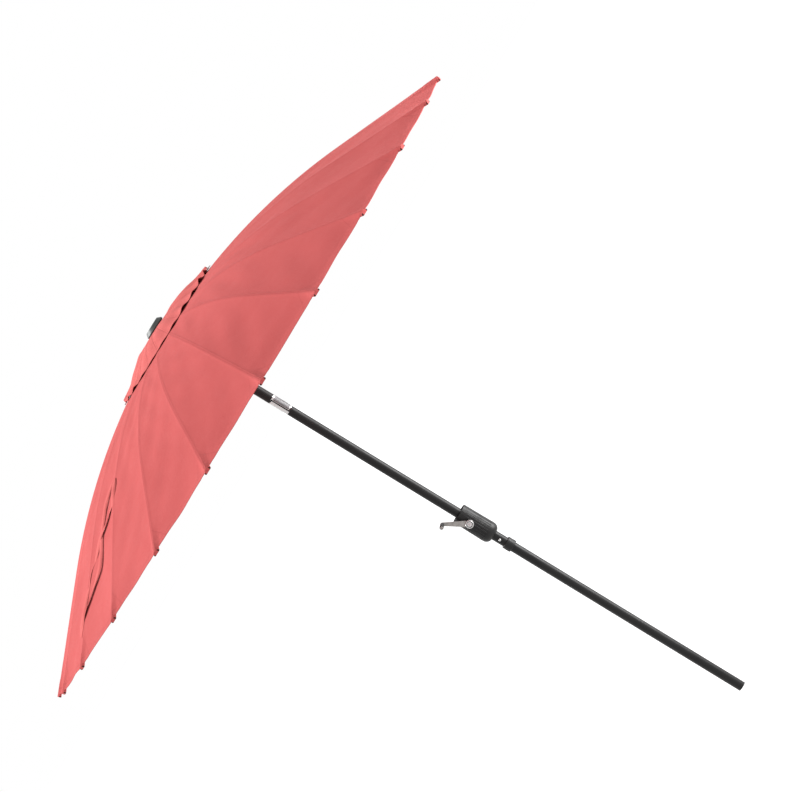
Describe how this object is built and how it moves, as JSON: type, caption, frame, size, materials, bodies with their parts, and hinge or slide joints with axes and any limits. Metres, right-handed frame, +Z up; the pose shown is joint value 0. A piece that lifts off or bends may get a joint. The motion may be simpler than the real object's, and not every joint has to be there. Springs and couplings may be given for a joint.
{
  "type": "patio umbrella",
  "caption": "Open market umbrella with a wavy vented canopy on folding ribs, a two-part pole, a crank lift with a runner and struts, and a push-button tilt.",
  "frame": {"origin": "centre of the pole's foot, at its lower end face", "axes": "+Z up along the pole; the crank is on the -Y side; the pole tilts about X"},
  "size_m": [2.7096, 2.7096, 2.606],
  "materials": {
    "black_powder_coat": "satin",
    "black_plastic": "matte",
    "grey_plastic": "satin",
    "bright_metal": "bright",
    "crank_grey": "satin",
    "frame_steel": "satin",
    "canopy_fabric": "woven",
    "cord": "braided"
  },
  "bodies": {
    "pole": {"lower_pole": "black_powder_coat", "foot_cap": "black_plastic", "pole_insert": "black_powder_coat", "pole_collar": "black_plastic", "mid_pole": "black_powder_coat", "crank_housing_front": "black_plastic", "crank_housing_back": "black_plastic", "housing_screws": "bright_metal", "tilt_knuckle_lower": "bright_metal", "tilt_lock_plate": "black_powder_coat", "tilt_pin": "bright_metal", "lift_cord_lower": "cord"},
    "snap_button": {"snap_button": "bright_metal"},
    "crank": {"crank_shaft": "bright_metal", "crank_arm": "crank_grey"},
    "crank_knob": {"crank_knob": "black_plastic"},
    "mast": {"tilt_knuckle_upper": "bright_metal", "mast_pole": "black_powder_coat", "crown": "black_plastic", "rib_pivot_ring": "bright_metal", "finial": "grey_plastic", "vent_canopy": "canopy_fabric", "canopy": "canopy_fabric", "lift_cord_upper": "cord"},
    "tilt_button": {"tilt_button": "bright_metal"},
    "cord_pulley": {"cord_pulley": "black_plastic"},
    "runner": {"runner": "black_plastic"},
    "rib_00": {"rib_00": "frame_steel"},
    "rib_01": {"rib_01": "frame_steel"},
    "rib_02": {"rib_02": "frame_steel", "tie_strap": "canopy_fabric"},
    "rib_03": {"rib_03": "frame_steel"},
    "rib_04": {"rib_04": "frame_steel"},
    "rib_05": {"rib_05": "frame_steel"},
    "rib_06": {"rib_06": "frame_steel"},
    "rib_07": {"rib_07": "frame_steel"},
    "rib_08": {"rib_08": "frame_steel"},
    "rib_09": {"rib_09": "frame_steel"},
    "rib_10": {"rib_10": "frame_steel"},
    "rib_11": {"rib_11": "frame_steel"},
    "rib_12": {"rib_12": "frame_steel"},
    "rib_13": {"rib_13": "frame_steel"},
    "rib_14": {"rib_14": "frame_steel"},
    "rib_15": {"rib_15": "frame_steel"},
    "rib_16": {"rib_16": "frame_steel"},
    "rib_17": {"rib_17": "frame_steel"},
    "rib_18": {"rib_18": "frame_steel"},
    "rib_19": {"rib_19": "frame_steel"},
    "rib_20": {"rib_20": "frame_steel"},
    "rib_21": {"rib_21": "frame_steel"},
    "rib_22": {"rib_22": "frame_steel"},
    "rib_23": {"rib_23": "frame_steel"},
    "strut_00": {"strut_00": "frame_steel"},
    "strut_03": {"strut_03": "frame_steel"},
    "strut_06": {"strut_06": "frame_steel"},
    "strut_09": {"strut_09": "frame_steel"},
    "strut_12": {"strut_12": "frame_steel"},
    "strut_15": {"strut_15": "frame_steel"},
    "strut_18": {"strut_18": "frame_steel"},
    "strut_21": {"strut_21": "frame_steel"}
  },
  "joints": [
    {"name": "snap_press", "type": "slide", "parent": "pole", "child": "snap_button", "axis": [0, 1, 0], "range_m": [0, 0.0045], "stiffness_N_per_m": 900, "springref_m": -0.003},
    {"name": "tilt", "type": "hinge", "parent": "pole", "child": "mast", "pos_m": [0, 0, 2.042], "axis": [1, 0, 0], "range_deg": [0, 38]},
    {"name": "tilt_press", "type": "slide", "parent": "mast", "child": "tilt_button", "axis": [-1, 0, 0], "range_m": [0, 0.004], "stiffness_N_per_m": 900, "springref_m": -0.003},
    {"name": "runner_slide", "type": "slide", "parent": "mast", "child": "runner", "axis": [0, 0, 1], "range_m": [-0.8532, 0], "deforming": ["canopy", "vent_canopy", "lift_cord_upper"]},
    {"name": "crank_turn", "type": "hinge", "parent": "pole", "child": "crank", "pos_m": [0, 0, 1.207], "axis": [0, -1, 0], "range_deg": [0, 3387.5]},
    {"name": "knob_spin", "type": "hinge", "parent": "crank", "child": "crank_knob", "pos_m": [-0.0561, 0, 1.29338], "axis": [0, -1, 0], "continuous": true},
    {"name": "pulley_turn", "type": "hinge", "parent": "mast", "child": "cord_pulley", "pos_m": [0, 0.0155, 2.48], "axis": [1, 0, 0], "range_deg": [0, 7521.7]},
    {"name": "rib_00_fold", "type": "hinge", "parent": "mast", "child": "rib_00", "pos_m": [0, -0.045, 2.551], "axis": [1, 0, 0], "range_deg": [0, 70.05]},
    {"name": "strut_00_fold", "type": "hinge", "parent": "rib_00", "child": "strut_00", "pos_m": [0, -0.61587, 2.44817], "axis": [-1, 0, 0], "range_deg": [0, 129.05]},
    {"name": "rib_01_fold", "type": "hinge", "parent": "mast", "child": "rib_01", "pos_m": [-0.01165, -0.04347, 2.551], "axis": [0.9659, -0.2588, 0], "range_deg": [0, 70.05]},
    {"name": "rib_02_fold", "type": "hinge", "parent": "mast", "child": "rib_02", "pos_m": [-0.0225, -0.03897, 2.551], "axis": [0.866, -0.5, 0], "range_deg": [0, 70.05]},
    {"name": "rib_03_fold", "type": "hinge", "parent": "mast", "child": "rib_03", "pos_m": [-0.03182, -0.03182, 2.551], "axis": [0.7071, -0.7071, 0], "range_deg": [0, 70.05]},
    {"name": "strut_03_fold", "type": "hinge", "parent": "rib_03", "child": "strut_03", "pos_m": [-0.43548, -0.43548, 2.44817], "axis": [-0.7071, 0.7071, 0], "range_deg": [0, 129.05]},
    {"name": "rib_04_fold", "type": "hinge", "parent": "mast", "child": "rib_04", "pos_m": [-0.03897, -0.0225, 2.551], "axis": [0.5, -0.866, 0], "range_deg": [0, 70.05]},
    {"name": "rib_05_fold", "type": "hinge", "parent": "mast", "child": "rib_05", "pos_m": [-0.04347, -0.01165, 2.551], "axis": [0.2588, -0.9659, 0], "range_deg": [0, 70.05]},
    {"name": "rib_06_fold", "type": "hinge", "parent": "mast", "child": "rib_06", "pos_m": [-0.045, 0, 2.551], "axis": [0, -1, 0], "range_deg": [0, 70.05]},
    {"name": "strut_06_fold", "type": "hinge", "parent": "rib_06", "child": "strut_06", "pos_m": [-0.61587, 0, 2.44817], "axis": [0, 1, 0], "range_deg": [0, 129.05]},
    {"name": "rib_07_fold", "type": "hinge", "parent": "mast", "child": "rib_07", "pos_m": [-0.04347, 0.01165, 2.551], "axis": [-0.2588, -0.9659, 0], "range_deg": [0, 70.05]},
    {"name": "rib_08_fold", "type": "hinge", "parent": "mast", "child": "rib_08", "pos_m": [-0.03897, 0.0225, 2.551], "axis": [-0.5, -0.866, 0], "range_deg": [0, 70.05]},
    {"name": "rib_09_fold", "type": "hinge", "parent": "mast", "child": "rib_09", "pos_m": [-0.03182, 0.03182, 2.551], "axis": [-0.7071, -0.7071, 0], "range_deg": [0, 70.05]},
    {"name": "strut_09_fold", "type": "hinge", "parent": "rib_09", "child": "strut_09", "pos_m": [-0.43548, 0.43548, 2.44817], "axis": [0.7071, 0.7071, 0], "range_deg": [0, 129.05]},
    {"name": "rib_10_fold", "type": "hinge", "parent": "mast", "child": "rib_10", "pos_m": [-0.0225, 0.03897, 2.551], "axis": [-0.866, -0.5, 0], "range_deg": [0, 70.05]},
    {"name": "rib_11_fold", "type": "hinge", "parent": "mast", "child": "rib_11", "pos_m": [-0.01165, 0.04347, 2.551], "axis": [-0.9659, -0.2588, 0], "range_deg": [0, 70.05]},
    {"name": "rib_12_fold", "type": "hinge", "parent": "mast", "child": "rib_12", "pos_m": [0, 0.045, 2.551], "axis": [-1, 0, 0], "range_deg": [0, 70.05]},
    {"name": "strut_12_fold", "type": "hinge", "parent": "rib_12", "child": "strut_12", "pos_m": [0, 0.61587, 2.44817], "axis": [1, 0, 0], "range_deg": [0, 129.05]},
    {"name": "rib_13_fold", "type": "hinge", "parent": "mast", "child": "rib_13", "pos_m": [0.01165, 0.04347, 2.551], "axis": [-0.9659, 0.2588, 0], "range_deg": [0, 70.05]},
    {"name": "rib_14_fold", "type": "hinge", "parent": "mast", "child": "rib_14", "pos_m": [0.0225, 0.03897, 2.551], "axis": [-0.866, 0.5, 0], "range_deg": [0, 70.05]},
    {"name": "rib_15_fold", "type": "hinge", "parent": "mast", "child": "rib_15", "pos_m": [0.03182, 0.03182, 2.551], "axis": [-0.7071, 0.7071, 0], "range_deg": [0, 70.05]},
    {"name": "strut_15_fold", "type": "hinge", "parent": "rib_15", "child": "strut_15", "pos_m": [0.43548, 0.43548, 2.44817], "axis": [0.7071, -0.7071, 0], "range_deg": [0, 129.05]},
    {"name": "rib_16_fold", "type": "hinge", "parent": "mast", "child": "rib_16", "pos_m": [0.03897, 0.0225, 2.551], "axis": [-0.5, 0.866, 0], "range_deg": [0, 70.05]},
    {"name": "rib_17_fold", "type": "hinge", "parent": "mast", "child": "rib_17", "pos_m": [0.04347, 0.01165, 2.551], "axis": [-0.2588, 0.9659, 0], "range_deg": [0, 70.05]},
    {"name": "rib_18_fold", "type": "hinge", "parent": "mast", "child": "rib_18", "pos_m": [0.045, 0, 2.551], "axis": [0, 1, 0], "range_deg": [0, 70.05]},
    {"name": "strut_18_fold", "type": "hinge", "parent": "rib_18", "child": "strut_18", "pos_m": [0.61587, 0, 2.44817], "axis": [0, -1, 0], "range_deg": [0, 129.05]},
    {"name": "rib_19_fold", "type": "hinge", "parent": "mast", "child": "rib_19", "pos_m": [0.04347, -0.01165, 2.551], "axis": [0.2588, 0.9659, 0], "range_deg": [0, 70.05]},
    {"name": "rib_20_fold", "type": "hinge", "parent": "mast", "child": "rib_20", "pos_m": [0.03897, -0.0225, 2.551], "axis": [0.5, 0.866, 0], "range_deg": [0, 70.05]},
    {"name": "rib_21_fold", "type": "hinge", "parent": "mast", "child": "rib_21", "pos_m": [0.03182, -0.03182, 2.551], "axis": [0.7071, 0.7071, 0], "range_deg": [0, 70.05]},
    {"name": "strut_21_fold", "type": "hinge", "parent": "rib_21", "child": "strut_21", "pos_m": [0.43548, -0.43548, 2.44817], "axis": [-0.7071, -0.7071, 0], "range_deg": [0, 129.05]},
    {"name": "rib_22_fold", "type": "hinge", "parent": "mast", "child": "rib_22", "pos_m": [0.0225, -0.03897, 2.551], "axis": [0.866, 0.5, 0], "range_deg": [0, 70.05]},
    {"name": "rib_23_fold", "type": "hinge", "parent": "mast", "child": "rib_23", "pos_m": [0.01165, -0.04347, 2.551], "axis": [0.9659, 0.2588, 0], "range_deg": [0, 70.05]}
  ],
  "couplings": [
    {"joint": "crank_turn", "follows": "runner_slide", "rad_per_m": -69.285},
    {"joint": "pulley_turn", "follows": "runner_slide", "rad_per_m": -153.85},
    {"joint": "rib_00_fold", "follows": "runner_slide", "rad_per_m": -1.4319},
    {"joint": "strut_00_fold", "follows": "runner_slide", "rad_per_m": -2.6388},
    {"joint": "rib_01_fold", "follows": "runner_slide", "rad_per_m": -1.4319},
    {"joint": "rib_02_fold", "follows": "runner_slide", "rad_per_m": -1.4319},
    {"joint": "rib_03_fold", "follows": "runner_slide", "rad_per_m": -1.4319},
    {"joint": "strut_03_fold", "follows": "runner_slide", "rad_per_m": -2.6388},
    {"joint": "rib_04_fold", "follows": "runner_slide", "rad_per_m": -1.4319},
    {"joint": "rib_05_fold", "follows": "runner_slide", "rad_per_m": -1.4319},
    {"joint": "rib_06_fold", "follows": "runner_slide", "rad_per_m": -1.4319},
    {"joint": "strut_06_fold", "follows": "runner_slide", "rad_per_m": -2.6388},
    {"joint": "rib_07_fold", "follows": "runner_slide", "rad_per_m": -1.4319},
    {"joint": "rib_08_fold", "follows": "runner_slide", "rad_per_m": -1.4319},
    {"joint": "rib_09_fold", "follows": "runner_slide", "rad_per_m": -1.4319},
    {"joint": "strut_09_fold", "follows": "runner_slide", "rad_per_m": -2.6388},
    {"joint": "rib_10_fold", "follows": "runner_slide", "rad_per_m": -1.4319},
    {"joint": "rib_11_fold", "follows": "runner_slide", "rad_per_m": -1.4319},
    {"joint": "rib_12_fold", "follows": "runner_slide", "rad_per_m": -1.4319},
    {"joint": "strut_12_fold", "follows": "runner_slide", "rad_per_m": -2.6388},
    {"joint": "rib_13_fold", "follows": "runner_slide", "rad_per_m": -1.4319},
    {"joint": "rib_14_fold", "follows": "runner_slide", "rad_per_m": -1.4319},
    {"joint": "rib_15_fold", "follows": "runner_slide", "rad_per_m": -1.4319},
    {"joint": "strut_15_fold", "follows": "runner_slide", "rad_per_m": -2.6388},
    {"joint": "rib_16_fold", "follows": "runner_slide", "rad_per_m": -1.4319},
    {"joint": "rib_17_fold", "follows": "runner_slide", "rad_per_m": -1.4319},
    {"joint": "rib_18_fold", "follows": "runner_slide", "rad_per_m": -1.4319},
    {"joint": "strut_18_fold", "follows": "runner_slide", "rad_per_m": -2.6388},
    {"joint": "rib_19_fold", "follows": "runner_slide", "rad_per_m": -1.4319},
    {"joint": "rib_20_fold", "follows": "runner_slide", "rad_per_m": -1.4319},
    {"joint": "rib_21_fold", "follows": "runner_slide", "rad_per_m": -1.4319},
    {"joint": "strut_21_fold", "follows": "runner_slide", "rad_per_m": -2.6388},
    {"joint": "rib_22_fold", "follows": "runner_slide", "rad_per_m": -1.4319},
    {"joint": "rib_23_fold", "follows": "runner_slide", "rad_per_m": -1.4319}
  ]
}
